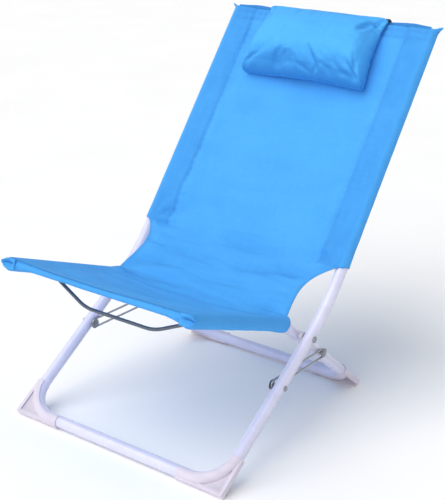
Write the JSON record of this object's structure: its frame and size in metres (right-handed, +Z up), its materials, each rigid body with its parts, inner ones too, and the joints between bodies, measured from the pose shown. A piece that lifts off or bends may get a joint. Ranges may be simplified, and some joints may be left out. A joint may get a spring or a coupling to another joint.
{
  "type": "folding beach chair",
  "caption": "Low folding beach chair: two crossed bent-tube frames on moulded feet, wire stop loops, a slung fabric seat and back, and a padded head pillow.",
  "frame": {"origin": "centre of the footprint box on the floor, under the middle of the chair", "axes": "-Y towards the front, where the sitter's legs go; +Y towards the back; +Z up; +X to the sitter's left"},
  "size_m": [0.487, 0.7478, 0.7312],
  "materials": {
    "white_paint": "smooth powder coat, satin gloss",
    "white_plastic": "injection moulded, fine mould grain",
    "dark_steel": "drawn rod, darkened",
    "wire_steel": "drawn wire, zinc plated and dulled",
    "rivet_steel": "zinc plated",
    "nylon": "natural nylon",
    "sling_fabric": "tightly woven polyester cloth",
    "pillow_fabric": "tightly woven polyester cloth over soft filling"
  },
  "bodies": {
    "back_frame": {"back_frame_tube": "white_paint", "back_tube_plugs": "white_plastic", "front_foot_right": "white_plastic", "front_foot_left": "white_plastic", "front_foot_screws": "dark_steel", "back_spreader_rod": "dark_steel", "sling_back": "sling_fabric", "head_pillow": "pillow_fabric", "pillow_flap": "sling_fabric", "main_pivot_rivets": "rivet_steel", "main_pivot_spacers": "nylon", "main_pivot_washers": "rivet_steel", "front_link_pins": "rivet_steel", "front_link_washers": "rivet_steel"},
    "seat_frame": {"seat_frame_tube": "white_paint", "seat_tube_plugs": "white_plastic", "rear_foot_right": "white_plastic", "rear_foot_left": "white_plastic", "rear_foot_screws": "dark_steel", "seat_spreader_rod": "dark_steel", "sling_seat": "sling_fabric", "rear_link_pins": "rivet_steel", "rear_link_washers": "rivet_steel"},
    "link_right": {"link_loop_right": "wire_steel"},
    "link_left": {"link_loop_left": "wire_steel"}
  },
  "joints": [
    {"name": "fold", "type": "hinge", "parent": "back_frame", "child": "seat_frame", "pos_m": [0, -0.04819, 0.193], "axis": [-1, 0, 0], "range_deg": [0, 80]},
    {"name": "link_right", "type": "hinge", "parent": "back_frame", "child": "link_right", "pos_m": [0, -0.13956, 0.13175], "axis": [-1, 0, 0], "range_deg": [0, 32.5]},
    {"name": "link_left", "type": "hinge", "parent": "back_frame", "child": "link_left", "pos_m": [0, -0.13956, 0.13175], "axis": [-1, 0, 0], "range_deg": [0, 32.5]}
  ],
  "couplings": [
    {"joint": "link_right", "follows": "fold", "ratio": 0.4},
    {"joint": "link_left", "follows": "fold", "ratio": 0.4}
  ]
}
